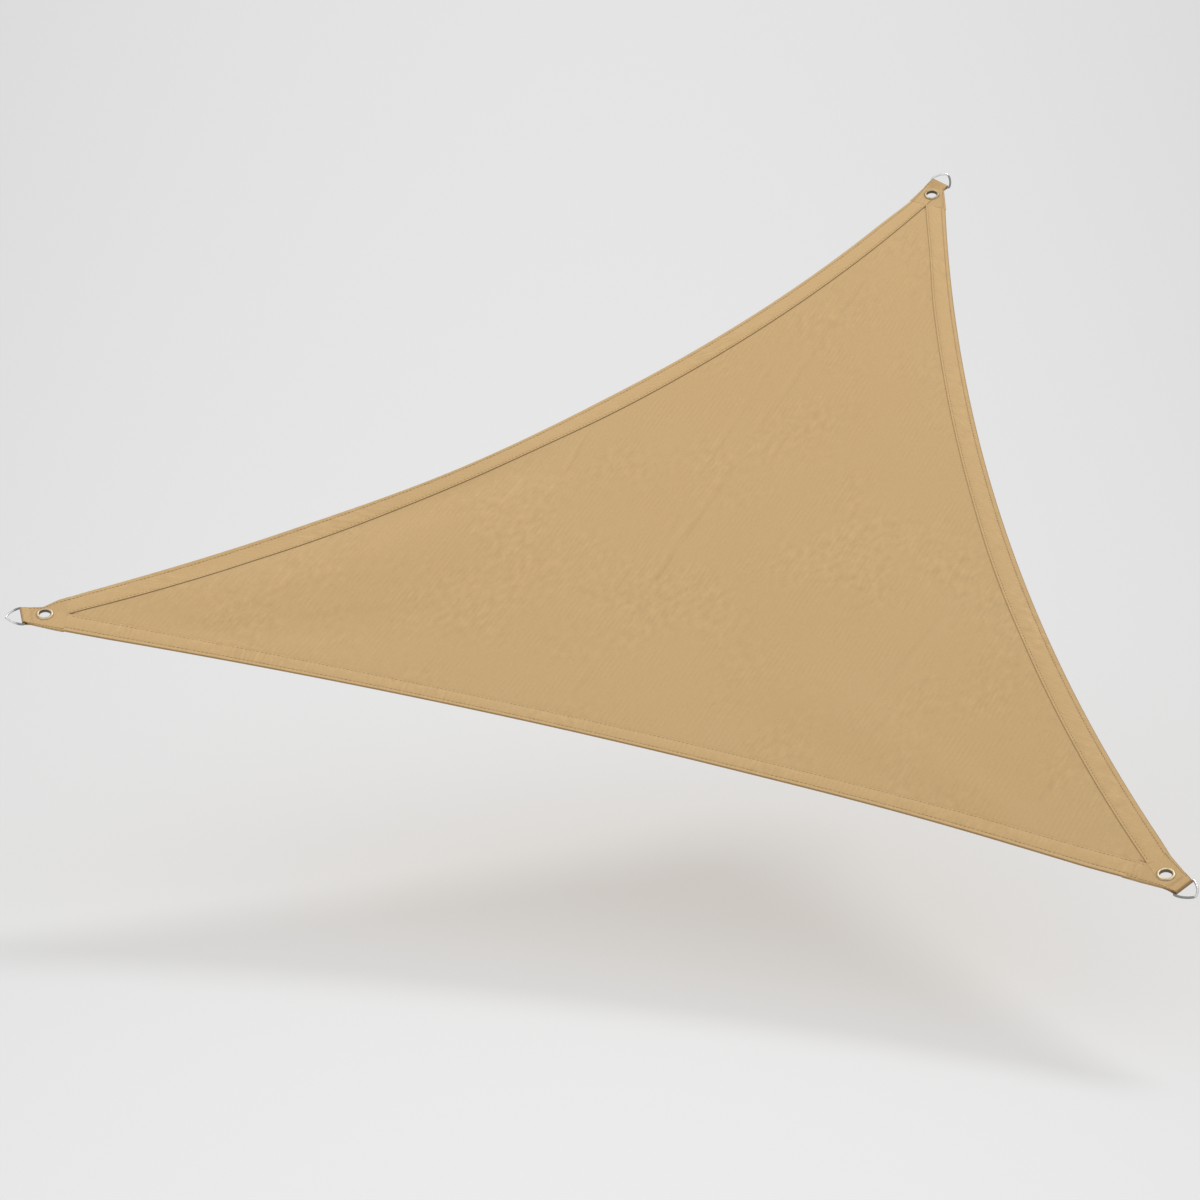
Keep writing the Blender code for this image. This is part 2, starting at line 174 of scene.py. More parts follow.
FLOOR_NEAR = (0.0646, 0.380)  # 2 m over the distance ahead of the camera, at the picture's top and bottom
FLOOR_LEVEL = (0.742, 0.802)
FLOOR_EVEN_TO = 4.0  # nearer to the camera than this, and behind it, the floor is even
BACKDROP = 0.86  # the tone seen past the floor's far edge; it lights nothing
FLOOR_SIDES = (2.0, 0.75)  # how much darker the painted shade makes it to the sides, at the picture's top and bottom
CAMERA_FROM_TOP = Vector((-0.7516, -7.9165, 1.0289))
FLOOR_UNDER_CAMERA = 2.3137
TO_LIGHT = Vector((0.311, 0.551, 1.0))

SAND = (0.552, 0.365, 0.1625)
FADED_SAND = (0.66, 0.47, 0.26)
THREAD = (0.23, 0.130, 0.048)
LINE_DARK = (0.20, 0.115, 0.045, 1.0)  # painted shade in the step at a hem's inner line
ROW_DARK = (0.24, 0.140, 0.055, 1.0)  # painted shade where the outer row of stitches draws the hem in
FOLD_DARK = (0.21, 0.115, 0.045, 1.0)  # painted shade at the cloth's folds
PAINTED_FRONT_TO_BACK = (-1.9, -0.1, -0.075, 0.070)  # painted light and shade: from and to along Y, and how much darker and lighter the cloth is painted there
CREASE_RELIEF = 25.0
WRINKLE_RELIEF = 2.0


def smooth(t):
    """From 0 to 1 with level ends."""
    t = min(max(t, 0.0), 1.0)
    return t * t * (3 - 2 * t)


# ------------------------------------------------------------------ the stretched surface

EYES = {name: Vector(row[:3]) for name, row in CORNERS.items()}
CENTRE = sum(EYES.values(), Vector()) / 3
PLANE_UP = (EYES["right"] - EYES["left"]).cross(EYES["top"] - EYES["left"]).normalized()
DOWN = Vector((0, 0, -1))


def out_from(name):
    return (EYES[name] - CENTRE).normalized()


def shares(point):
    """How much of each corner a point in the plane of the eyelets has."""
    a, b, c = EYES.values()
    area = (b - a).cross(c - a).dot(PLANE_UP)
    top = (point - a).cross(c - a).dot(PLANE_UP) / area
    right = (b - a).cross(point - a).dot(PLANE_UP) / area
    return 1 - top - right, top, right


def place(top, right):
    return EYES["left"] * (1 - top - right) + EYES["top"] * top + EYES["right"] * right


FOLD_LINES = [
    (place(t1, r1), place(t2, r2) - place(t1, r1), half1, half2, height)
    for t1, r1, t2, r2, half1, half2, height in FOLDS
]


def fold_height(point, fold):
    start, line, half1, half2, height = fold
    along = (point - start).dot(line) / line.length_squared
    if not 0 < along < 1:
        return 0.0
    half = half1 + (half2 - half1) * along
    across = (point - start - line * along).length / half
    if across >= 1:
        return 0.0
    bump = (1 - across**2) ** 2
    if height < 0:
        bump = (1 - SHARP) * bump + SHARP * (1 - across) ** 3
    return height * bump * smooth(along / 0.25) * smooth((1 - along) / 0.25)


def lifted(point):
    """The place in space of a point in the plane."""
    left, top, right = shares(point)
    hang = 4 * SAG * (left * top + top * right + right * left)
    relief = sum(fold_height(point, fold) for fold in FOLD_LINES)
    return point + DOWN * hang + PLANE_UP * relief


def frame_at(point, ahead):
    reach = 0.004
    side = PLANE_UP.cross(ahead)
    x = (lifted(point + ahead * reach) - lifted(point - ahead * reach)).normalized()
    y = (lifted(point + side * reach) - lifted(point - side * reach)).normalized()
    up = x.cross(y).normalized()
    return x, up.cross(x), up


def corner_matrix(name):
    axes = Matrix(frame_at(EYES[name], out_from(name))).transposed().to_4x4()
    return Matrix.Translation(lifted(EYES[name]) - ORIGIN) @ axes


def pulled_matrix(name, away):
    share = min(max((away - PLIES_MEET) / (BAR_OUT - PLIES_MEET), 0.0), 1.0)
    turns = Euler([math.radians(turn) * share for turn in CORNERS[name][7:]])
    bend = Matrix.Translation((PLIES_MEET, 0, 0))
    return corner_matrix(name) @ bend @ turns.to_matrix().to_4x4() @ bend.inverted()


def inward(start):
    end = EDGES[start][0]
    side = PLANE_UP.cross(EYES[end] - EYES[start]).normalized()
    return side if side.dot(CENTRE - EYES[start]) > 0 else -side


def uneven(dents, s):
    """How far in its dents take a line, at a share of its edge's length."""
    total = 0.0
    for middle, half, depth in dents:
        away = (s - middle) / half
        if abs(away) < 1:
            total += depth * (1 - away**2) ** 2
    return total


def edge_point(start, s):
    """A point on the cloth's outer edge, s from 0 at the eyelet of its start to 1 at the next one."""
    end, out_start, out_end, hollow, lean, _, _ = EDGES[start]
    dip = 4 * hollow * s * (1 - s) * (1 + lean * (2 * s - 1))
    dip += uneven(EDGE_DENTS[start], s) - out_start * (1 - s) - out_end * s
    return EYES[start].lerp(EYES[end], s) + inward(start) * dip


def hem_corner(name, inset):
    return EYES[name] - out_from(name) * (CORNERS[name][3] + inset / CORNER_SINE)


def hem_hollow(start, inset):
    end, out_start, out_end, hollow, _, width, _ = EDGES[start]
    middle = (EYES[start] + EYES[end]) / 2
    middle += inward(start) * (hollow - (out_start + out_end) / 2 + width + inset)
    straight = (hem_corner(start, inset) + hem_corner(end, inset)) / 2
    return (middle - straight).dot(inward(start))


def panel_point(share, inset, hollows):
    names = list(CORNERS)
    point = sum((hem_corner(n, inset) * w for n, w in zip(names, share)), Vector())
    for start, row in EDGES.items():
        a, b = share[names.index(start)], share[names.index(row[0])]
        dip = 4 * hollows[start] * a * b * (1 + row[6] * (b - a))
        if a + b > 0.75:
            dip += uneven(LINE_DENTS[start], b / (a + b)) * smooth((a + b - 0.75) * 4)
        point += inward(start) * dip
    return point


def edge_near(name, on_next):
    before = next(start for start, row in EDGES.items() if row[0] == name)
    ahead, side = out_from(name), PLANE_UP.cross(out_from(name))
    near = []
    for s in (0.0, 0.03):
        point = edge_point(name, s) if on_next else edge_point(before, 1 - s)
        point -= EYES[name]
        near.append((s, point.dot(ahead), abs(point.dot(side))))
    return near


def edge_beside(name, away, on_next):
    (_, a0, b0), (_, a1, b1) = edge_near(name, on_next)
    return b0 + (away - a0) * (b1 - b0) / (a1 - a0)


def end_share(name, on_next):
    (_, a0, _), (s, a1, _) = edge_near(name, on_next)
    return s * (a0 + CLOTH_END) / (a0 - a1)


ORIGIN = Vector()
ORIGIN = pulled_matrix("top", BAR_OUT) @ Vector((BAR_OUT + RING_DEPTH - WIRE, 0, 0))

RIB = (place(0.856, 0.054) - place(0.103, 0.409)).normalized()
ACROSS_RIBS = PLANE_UP.cross(RIB)


# ------------------------------------------------------------------ node helpers


class Nodes:
    """A node tree that is written one node a line."""

    def __init__(self, tree):
        self.tree = tree

    def add(self, kind, inputs=(), **settings):
        node = self.tree.nodes.new(kind)
        for key, value in settings.items():
            setattr(node, key, value)
        for key, value in dict(inputs).items():
            if isinstance(value, bpy.types.NodeSocket):
                self.tree.links.new(value, node.inputs[key])
            else:
                node.inputs[key].default_value = value
        return node

    def maths(self, operation, a, b=0.0, c=0.0):
        node = self.add("ShaderNodeMath", {0: a, 1: b, 2: c}, operation=operation)
        return node.outputs[0]

    def ramp(self, value, low, high, to_low=0.0, to_high=1.0, kind="SMOOTHSTEP"):
        sockets = {"Value": value, "From Min": low, "From Max": high}
        sockets |= {"To Min": to_low, "To Max": to_high}
        return self.add("ShaderNodeMapRange", sockets, interpolation_type=kind).outputs[0]

    def noise(self, vector, scale, detail=2.0):
        sockets = {"Vector": vector, "Scale": scale, "Detail": detail}
        return self.add("ShaderNodeTexNoise", sockets).outputs[0]

    def mix(self, factor, a, b, blend="MIX"):
        node = self.add("ShaderNodeMix", data_type="RGBA", blend_type=blend)
        for socket, value in ((0, factor), (6, a), (7, b)):
            if isinstance(value, bpy.types.NodeSocket):
                self.tree.links.new(value, node.inputs[socket])
            else:
                node.inputs[socket].default_value = value
        return node.outputs[2]


def new_group(name, inputs, outputs):
    tree = bpy.data.node_groups.new(name, "ShaderNodeTree")
    for label, kind, value in inputs:
        socket = tree.interface.new_socket(label, in_out="INPUT", socket_type=kind)
        if value is not None:
            socket.default_value = value
    for label, kind in outputs:
        tree.interface.new_socket(label, in_out="OUTPUT", socket_type=kind)
    nodes = Nodes(tree)
    return tree, nodes, nodes.add("NodeGroupInput").outputs, nodes.add("NodeGroupOutput")


def knit_group():
    """Knitted tape cloth: upright ribs of looped thread in pairs, with slanting tapes laid between them."""
    number = "NodeSocketFloat"
    tree, n, given, out = new_group(
        "knitted_tape",
        [
            ("Flat Place", "NodeSocketVector", None),
            ("Rib Pitch", number, RIB_PITCH),
            ("Loop Pitch", number, 0.0032),
        ],
        [("Height", number), ("Shade", number)],
    )
    split = n.add("ShaderNodeSeparateXYZ", {0: given["Flat Place"]})
    wander = n.noise(given["Flat Place"], 9.0, 1.0)
    wander = n.maths("MULTIPLY", n.maths("SUBTRACT", wander, 0.5), 2.2)
    across = n.maths("DIVIDE", split.outputs[0], given["Rib Pitch"])
    across = n.maths("ADD", across, wander)
    along = n.maths("DIVIDE", split.outputs[1], given["Loop Pitch"])
    place_in_rib = n.maths("SUBTRACT", n.maths("FRACT", across), 0.5)
    rib = n.ramp(n.maths("ABSOLUTE", place_in_rib), 0.08, 0.30, 1.0, 0.0)
    loops = n.maths("MULTIPLY", along, 6.2832)
    loops = n.maths("MULTIPLY_ADD", n.maths("SINE", loops), 0.5, 0.5)
    slant = n.maths("MULTIPLY_ADD", place_in_rib, 1.6, along)
    tapes = n.maths("PINGPONG", n.maths("MULTIPLY", slant, 2.0), 1.0)
    tapes = n.ramp(tapes, 0.15, 0.85)
    height = n.maths("MULTIPLY", rib, n.maths("MULTIPLY_ADD", loops, 0.5, 0.6))
    laid = n.maths("MULTIPLY", n.maths("SUBTRACT", 1.0, rib), tapes)
    height = n.maths("MULTIPLY_ADD", laid, 0.45, height)
    pair = n.ramp(n.maths("PINGPONG", across, 1.0), 0.1, 0.9)
    patchy = n.ramp(n.noise(given["Flat Place"], 11.0, 3.0), 0.40, 0.66, 0.12, 1.0)
    even = n.maths("MULTIPLY_ADD", height, 0.45, n.maths("MULTIPLY", pair, 0.55))
    even = n.maths("SUBTRACT", even, 0.5)
    shade = n.maths("MULTIPLY_ADD", even, patchy, 0.5)
    n.tree.links.new(height, out.inputs["Height"])
    n.tree.links.new(shade, out.inputs["Shade"])
    return tree


def crease_group():
    """Creases as painted shade in a dark trough with a painted highlight on a light lip, broken where the
    pull in the cloth has drawn them flat.
    """
    tree, n, given, out = new_group(
        "painted_crease_light_and_shade",
        [("Flat Place", "NodeSocketVector", None)],
        [("Shade", "NodeSocketFloat")],
    )
    flat = given["Flat Place"]
    broken = n.ramp(n.noise(flat, 9.0, 3.0), 0.38, 0.60, 0.25, 1.0)
    wander = n.maths("MULTIPLY_ADD", n.noise(flat, 5.0, 2.0), 0.024, -0.012)
    total = 0.0
    for top1, right1, top2, right2, half, dark in CREASES:
        ends = [place(top1, right1) - CENTRE, place(top2, right2) - CENTRE]
        start, end = (Vector((e.dot(ACROSS_RIBS), e.dot(RIB), 0)) for e in ends)
        length = (end - start).length
        ahead = (end - start) / length
        here = n.add("ShaderNodeVectorMath", {0: flat, 1: start}, operation="SUBTRACT").outputs[0]
        along = n.add("ShaderNodeVectorMath", {0: here, 1: ahead}, operation="DOT_PRODUCT").outputs[1]
        square = Vector((-ahead.y, ahead.x, 0))
        across = n.add("ShaderNodeVectorMath", {0: here, 1: square}, operation="DOT_PRODUCT").outputs[1]
        across = n.maths("ADD", across, wander)
        # the trough is painted shade, the lip a painted highlight
        trough = n.ramp(n.maths("ABSOLUTE", across), 0.0, half, -dark, 0.0)
        lip = n.maths("ABSOLUTE", n.maths("SUBTRACT", across, 1.7 * half))
        lip = n.ramp(lip, 0.0, 1.2 * half, 0.5 * dark, 0.0)
        rise = n.ramp(along, 0.0, 0.15 * length)
        fall = n.ramp(along, 0.85 * length, length, 1.0, 0.0)
        fade = n.maths("MULTIPLY", rise, fall)
        total = n.maths("MULTIPLY_ADD", n.maths("ADD", trough, lip), fade, total)
    n.tree.links.new(n.maths("MULTIPLY", total, broken), out.inputs["Shade"])
    return tree


def weather_group():
    """Slow patches of fading, fine dust, and the painted light and shade of many small wrinkles in cloth
    used outdoors.
    """
    number, vector = "NodeSocketFloat", "NodeSocketVector"
    tree, n, given, out = new_group(
        "weathering_and_wrinkle_shade",
        [("Place", vector, None), ("Flat Place", vector, None), ("Patch Size", number, 0.35)],
        [("Fade", number), ("Dust", number), ("Wrinkles", number)],
    )
    scale = n.maths("DIVIDE", 1.0, given["Patch Size"])
    long = n.add("ShaderNodeMapping", {"Vector": given["Flat Place"], "Scale": (1.0, 0.5, 1.0)})
    wrinkles = n.noise(long.outputs[0], 75.0, 5.0)
    where = n.ramp(n.noise(given["Flat Place"], 3.5, 2.0), 0.38, 0.66)
    wrinkles = n.maths("MULTIPLY", n.maths("SUBTRACT", wrinkles, 0.5), where)
    n.tree.links.new(n.noise(given["Place"], scale, 3.0), out.inputs["Fade"])
    n.tree.links.new(n.noise(given["Place"], 210.0, 4.0), out.inputs["Dust"])
    n.tree.links.new(n.maths("ADD", wrinkles, 0.5), out.inputs["Wrinkles"])
    return tree


def new_material(name):
    made = bpy.data.materials.new(name)
    made.use_nodes = True
    tree = made.node_tree
    return made, Nodes(tree), tree.nodes["Principled BSDF"]


def use_group(n, tree, **inputs):
    node = n.add("ShaderNodeGroup", node_tree=tree)
    for label, value in inputs.items():
        socket = node.inputs[label.replace("_", " ")]
        if isinstance(value, bpy.types.NodeSocket):
            n.tree.links.new(value, socket)
        else:
            socket.default_value = value
    return node.outputs


KNIT = knit_group()
CREASED = crease_group()
WEATHER_AND_WRINKLE_SHADE = weather_group()


def scaled(colour, factor):
    return tuple(min(c * factor, 1.0) for c in colour[:3]) + (1.0,)


def cloth_material(name, tint):
    """Sand cloth.

    Its piece carries how far each point lies beyond the hem's inner line and from the cloth's fold,
    and how dark the painted shade at that line and that fold is.
    """
    made, n, shader = new_material(name)
    flat = n.add("ShaderNodeUVMap", uv_map="flat_cloth").outputs[0]
    place_in_space = n.add("ShaderNodeTexCoord").outputs["Object"]
    knit = use_group(n, KNIT, Flat_Place=flat)
    weather_and_wrinkles = use_group(n, WEATHER_AND_WRINKLE_SHADE, Place=place_in_space, Flat_Place=flat)
    lies = {
        title: n.add("ShaderNodeAttribute", attribute_name=title).outputs[2]
        for title in ("beyond_hem_line", "from_fold", "line_shade", "fold_shade")
    }
    base = tuple(c * t for c, t in zip(SAND, tint))
    colour = n.mix(knit["Shade"], scaled(base, 0.95), scaled(base, 1.05))
    fade = n.ramp(weather_and_wrinkles["Fade"], 0.3, 0.7, 0.0, 0.10)
    colour = n.mix(fade, colour, scaled(FADED_SAND, 0.9))
    grain = n.ramp(weather_and_wrinkles["Dust"], 0.3, 0.7, -0.5, 0.5, "LINEAR")
    # painted light and shade of the small wrinkles, with fine dust
    wrinkles = n.maths("SUBTRACT", weather_and_wrinkles["Wrinkles"], 0.5)
    tone = n.maths("MULTIPLY_ADD", wrinkles, 0.42, n.maths("MULTIPLY", grain, 0.07))
    # painted shade and highlight of the creases, also used as their bump relief
    creases = use_group(n, CREASED, Flat_Place=flat)["Shade"]
    tone = n.maths("ADD", n.maths("ADD", tone, creases), 1.0)
    on_hem = n.ramp(lies["beyond_hem_line"], 0.0, 0.0006, 0.0, 0.045)
    tone = n.maths("ADD", tone, on_hem)
    # painted light and shade: the cloth is painted darker at the front and lighter at the back
    back = n.add("ShaderNodeSeparateXYZ", {0: place_in_space}).outputs[1]
    tone = n.maths("ADD", tone, n.ramp(back, *PAINTED_FRONT_TO_BACK, "LINEAR"))
    tone = n.add("ShaderNodeCombineXYZ", {0: tone, 1: tone, 2: tone}).outputs[0]
    colour = n.mix(1.0, colour, tone, "MULTIPLY")
    # painted shade along the hem's inner line
    painted_shade_on_line = n.ramp(n.maths("ABSOLUTE", lies["beyond_hem_line"]), 0.0005, 0.0021, 0.66, 0.0)
    painted_shade_on_line = n.maths("MULTIPLY", painted_shade_on_line, lies["line_shade"])
    colour = n.mix(painted_shade_on_line, colour, LINE_DARK)
    # painted shade in the groove along the outer row of stitches
    row = n.maths("ABSOLUTE", n.maths("SUBTRACT", lies["from_fold"], SEAMS[1]))
    row = n.ramp(row, 0.0004, 0.0026, 0.20, 0.0)
    row = n.maths("MULTIPLY", row, lies["fold_shade"])
    colour = n.mix(row, colour, ROW_DARK)
    # painted shade along the cloth's folded edge
    fold = n.ramp(lies["from_fold"], 0.0002, 0.0028, 0.60, 0.0)
    fold = n.maths("MULTIPLY", fold, lies["fold_shade"])
    colour = n.mix(fold, colour, FOLD_DARK)
    n.tree.links.new(colour, shader.inputs["Base Color"])
    rough = n.ramp(knit["Height"], 0.0, 1.0, 0.92, 0.74, "LINEAR")
    n.tree.links.new(rough, shader.inputs["Roughness"])
    relief = n.maths("MULTIPLY_ADD", weather_and_wrinkles["Wrinkles"], WRINKLE_RELIEF, knit["Height"])
    relief = n.maths("MULTIPLY_ADD", creases, CREASE_RELIEF, relief)
    bump = n.add("ShaderNodeBump", {"Height": relief, "Distance": 0.00025, "Strength": 0.8})
    n.tree.links.new(bump.outputs[0], shader.inputs["Normal"])
    shader.inputs["Sheen Weight"].default_value = 0.12
    shader.inputs["Sheen Roughness"].default_value = 0.6
    shader.inputs["Specular IOR Level"].default_value = 0.25
    return made


def thread_material():
    made, n, shader = new_material("sewing_thread")
    place_in_space = n.add("ShaderNodeTexCoord").outputs["Object"]
    twist = n.noise(place_in_space, 900.0, 1.0)
    colour = n.mix(n.ramp(twist, 0.3, 0.7), scaled(THREAD, 0.75), scaled(THREAD, 1.25))
    n.tree.links.new(colour, shader.inputs["Base Color"])
    bump = n.add("ShaderNodeBump", {"Height": twist, "Distance": 0.0001, "Strength": 0.5})
    n.tree.links.new(bump.outputs[0], shader.inputs["Normal"])
    shader.inputs["Roughness"].default_value = 0.6
    return made


def steel_material(name, colour, roughness, dark=(0.17, 0.145, 0.10)):
    """Metal with fine drawing scratches, dulled in patches, and darker where its piece marks it so; inside
    an eyelet's barrel that darkening is painted shade.
    """
    made, n, shader = new_material(name)
    place_in_space = n.add("ShaderNodeTexCoord").outputs["Object"]
    patches = n.noise(place_in_space, 140.0, 3.0)
    fine = n.noise(place_in_space, 1600.0, 2.0)
    shown = n.mix(n.ramp(patches, 0.35, 0.75), scaled(colour, 1.0), scaled(colour, 0.72))
    darkened = n.add("ShaderNodeAttribute", attribute_name="darkened").outputs[2]
    shown = n.mix(n.ramp(darkened, 0.2, 0.9), shown, (*dark, 1.0))
    n.tree.links.new(shown, shader.inputs["Base Color"])
    rough = n.ramp(patches, 0.3, 0.8, roughness, roughness + 0.18, "LINEAR")
    n.tree.links.new(rough, shader.inputs["Roughness"])
    bump = n.add("ShaderNodeBump", {"Height": fine, "Distance": 0.00003, "Strength": 0.4})
    n.tree.links.new(bump.outputs[0], shader.inputs["Normal"])
    shader.inputs["Metallic"].default_value = 1.0
    return made


# ------------------------------------------------------------------ making pieces


def mesh_from(bm, name, matrix=None):
    if matrix:
        bm.transform(matrix)
    mesh = bpy.data.meshes.new(name)
    bm.to_mesh(mesh)
    bm.free()
    return mesh


def add_piece(name, mesh, finish, stands_for=()):
    made = bpy.data.objects.new(name, mesh)
    mesh.materials.append(finish)
    bpy.context.scene.collection.objects.link(made)
    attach(made, "root")
    if stands_for:
        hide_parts(*stands_for)
    return made


def new_verts(made):
    return [g for g in made["geom"] if isinstance(g, bmesh.types.BMVert)]


# ------------------------------------------------------------------ the cloth


def ring_share(start, ring):
    """How far a ring of the hem lies from its inner line to the cloth's edge, from 0 to 1."""
    width = EDGES[start][5]
    from_line, from_edge = ring[:2]
    return from_line / width if from_edge is None else 1 - from_edge / width


def hem_place(start, t, share_out, inner, first, last):
    """A point of the hem in the plane: t along the edge, share_out from the inner line to the edge."""
    outer = edge_point(start, first + (last - first) * t)
    return inner.lerp(outer, share_out), outer


def pared_for_strap(name, point):
    """How much of its thickness the hem keeps: it is pared down under a strap's inner end."""
    ahead = out_from(name)
    away, beside = (point - EYES[name]).dot(ahead), (point - EYES[name]).dot(PLANE_UP.cross(ahead))
    if away < -0.1:
        return 1.0
    away = -CLOTH_END + (away + CLOTH_END) / (1 - STRAP_SLANT * beside)
    return 0.15 + 0.85 * smooth((0.014 - CORNERS[name][5] - away) / 0.013)


class SailCloth:
    """The panel's grid with its hems, first flat in the plane of the eyelets."""

    def __init__(self):
        self.bm = bmesh.new()
        layers = self.bm.verts.layers
        self.share = layers.float_vector.new("share")
        self.turned = layers.float_vector.new("turned")
        self.under = layers.float.new("under")
        self.thick = layers.float.new("thick")
        self.beyond = layers.float.new("beyond_hem_line")
        self.from_fold = layers.float.new("from_fold")
        self.line_shade = layers.float.new("line_shade")
        self.fold_shade = layers.float.new("fold_shade")
        self.hollows = {
            inset: {start: hem_hollow(start, inset) for start in EDGES}
            for inset in (0.0, 0.006)
        }

    def grid(self):
        bm = self.bm
        bm.faces.new([bm.verts.new(row) for row in Matrix.Identity(3)])
        bmesh.ops.subdivide_edges(
            bm, edges=bm.edges[:], cuts=PANEL_STEPS - 1, use_grid_fill=True
        )
        for v in bm.verts:
            v[self.share] = v.co
            v.co = panel_point(v.co, 0.006, self.hollows[0.006])
            v[self.turned] = v.co
            v[self.thick] = CLOTH
            v[self.beyond] = -0.006
            v[self.from_fold] = 0.05
        for f in bm.faces:
            f.smooth = True
        for start in EDGES:
            for e in self.side(start):
                for v in e.verts:
                    v[self.line_shade] = HEM_SHADES[start][0]

    def side(self, start):
        """The rim's edges along one side, and the places of its two corners in a share."""
        names = list(CORNERS)
        along = [names.index(n) for n in (start, EDGES[start][0])]
        return [
            e
            for e in self.bm.edges
            if e.is_boundary
            and all(abs(sum(v[self.share][i] for i in along) - 1) < 1e-6 for v in e.verts)
            and (e.verts[0][self.share] - e.verts[1][self.share]).length > 1e-6
        ]

    def hem(self, start):
        """Extrudes one side ring by ring, and returns its end points at the start and at the end."""
        names = list(CORNERS)
        towards = names.index(EDGES[start][0])
        first, last = end_share(start, True), 1 - end_share(EDGES[start][0], False)
        length = (EYES[EDGES[start][0]] - EYES[start]).length
        ends = ([], [])
        edges = self.side(start)
        for ring in HEM_RINGS:
            made = bmesh.ops.extrude_edge_only(self.bm, edges=edges)
            edges = [
                g
                for g in made["geom"]
                if isinstance(g, bmesh.types.BMEdge)
                and g.is_boundary
                and (g.verts[0][self.share] - g.verts[1][self.share]).length > 1e-6
            ]
            share_out = ring_share(start, ring)
            for v in new_verts(made):
                t = v[self.share][towards]
                inner = panel_point(v[self.share], 0.0, self.hollows[0.0])
                v.co, outer = hem_place(start, t, share_out, inner, first, last)
                wave = math.sin(t * length / PUCKER_LENGTH * 6.2832 + 2 * math.sin(19 * t))
                on_hem = smooth(share_out * 4) * smooth((1 - share_out) * 6)
                v[self.turned] = outer * 2 - v.co if share_out > 0.001 else v.co
                pared = min(pared_for_strap(n, v.co) for n in (start, EDGES[start][0]))
                thick = ring[3] + PUCKER * wave * on_hem
                v[self.thick] = thick * pared
                v[self.under] = ring[2] + thick * (1 - pared) / 2
                v[self.beyond] = share_out * EDGES[start][5]
                v[self.from_fold] = (1 - share_out) * EDGES[start][5]
                v[self.line_shade], v[self.fold_shade] = HEM_SHADES[start]
                if t < 1e-6:
                    ends[0].append(v)
                if t > 1 - 1e-6:
                    ends[1].append(v)
            for g in made["geom"]:
                if isinstance(g, bmesh.types.BMFace):
                    g.smooth = ring[4]
        return ends

    def close_corner(self, apex, one_side, other_side):
        """Fills the corner between the ends of two hems."""
        rows = zip(one_side, other_side)
        a, b = next(rows)
        bmesh.ops.contextual_create(self.bm, geom=[apex, a, b])
        for c, d in rows:
            made = bmesh.ops.contextual_create(self.bm, geom=[a, b, c, d])
            for f in made["faces"]:
                f.smooth = True
            a, b = c, d

    def flat_places(self):
        """Lays the knit's own coordinates on the cloth; on the hem it runs as in the turned-up margin."""
        uv = self.bm.loops.layers.uv.new("flat_cloth")
        for f in self.bm.faces:
            on_hem = sum(loop.vert[self.beyond] for loop in f.loops) / len(f.loops) > 1e-5
            for loop in f.loops:
                point = loop.vert[self.turned] if on_hem else loop.vert.co
                point = point - CENTRE
                loop[uv].uv = (point.dot(ACROSS_RIBS), point.dot(RIB))

    def hang(self):
        bm = self.bm
        for v in bm.verts:
            v.co = lifted(v.co) - ORIGIN
        bmesh.ops.recalc_face_normals(bm, faces=bm.faces[:])
        bm.normal_update()
        if sum((f.normal for f in bm.faces), Vector()).z < 0:
            bmesh.ops.reverse_faces(bm, faces=bm.faces[:])
            bm.normal_update()
        for v in bm.verts:
            v.co += PLANE_UP * (v[self.under] - HEM / 2)


def make_cloth(finish):
    cloth = SailCloth()
    cloth.grid()
    apexes = {
        name: next(v for v in cloth.bm.verts if v[cloth.share][i] > 1 - 1e-6)
        for i, name in enumerate(CORNERS)
    }
    ends = {start: cloth.hem(start) for start in EDGES}
    for start, (end, *_) in EDGES.items():
        cloth.close_corner(apexes[end], ends[start][1], ends[end][0])
    cloth.flat_places()
    cloth.hang()
    weights = [v[cloth.thick] / THICKEST for v in cloth.bm.verts]
    sail = add_piece(
        "sail", mesh_from(cloth.bm, "sail"), finish, ["sail_cloth"]
    )
    group = sail.vertex_groups.new(name="thickness")
    for index, weight in enumerate(weights):
        group.add([index], min(weight, 1.0), "REPLACE")
    thick = sail.modifiers.new("thickness", "SOLIDIFY")
    thick.thickness = THICKEST
    thick.offset = 1.0
    thick.vertex_group = group.name
    thick.thickness_vertex_group = 0.0
    return sail


# ------------------------------------------------------------------ stitches


def add_stitch(bm, matrix):
    made = bmesh.ops.create_icosphere(bm, subdivisions=1, radius=1.0)
    bmesh.ops.transform(bm, matrix=matrix @ Matrix.Diagonal((*STITCH, 1)), verts=made["verts"])


def stitch_line(bm, points, ups):
    """Sews one stitch at each point, each along the line to the next one."""
    for point, ahead, up in zip(points, points[1:], ups):
        x = (ahead - point).normalized()
        y = up.cross(x).normalized()
        axes = Matrix((x, y, x.cross(y))).transposed().to_4x4()
        add_stitch(bm, Matrix.Translation(point) @ axes)


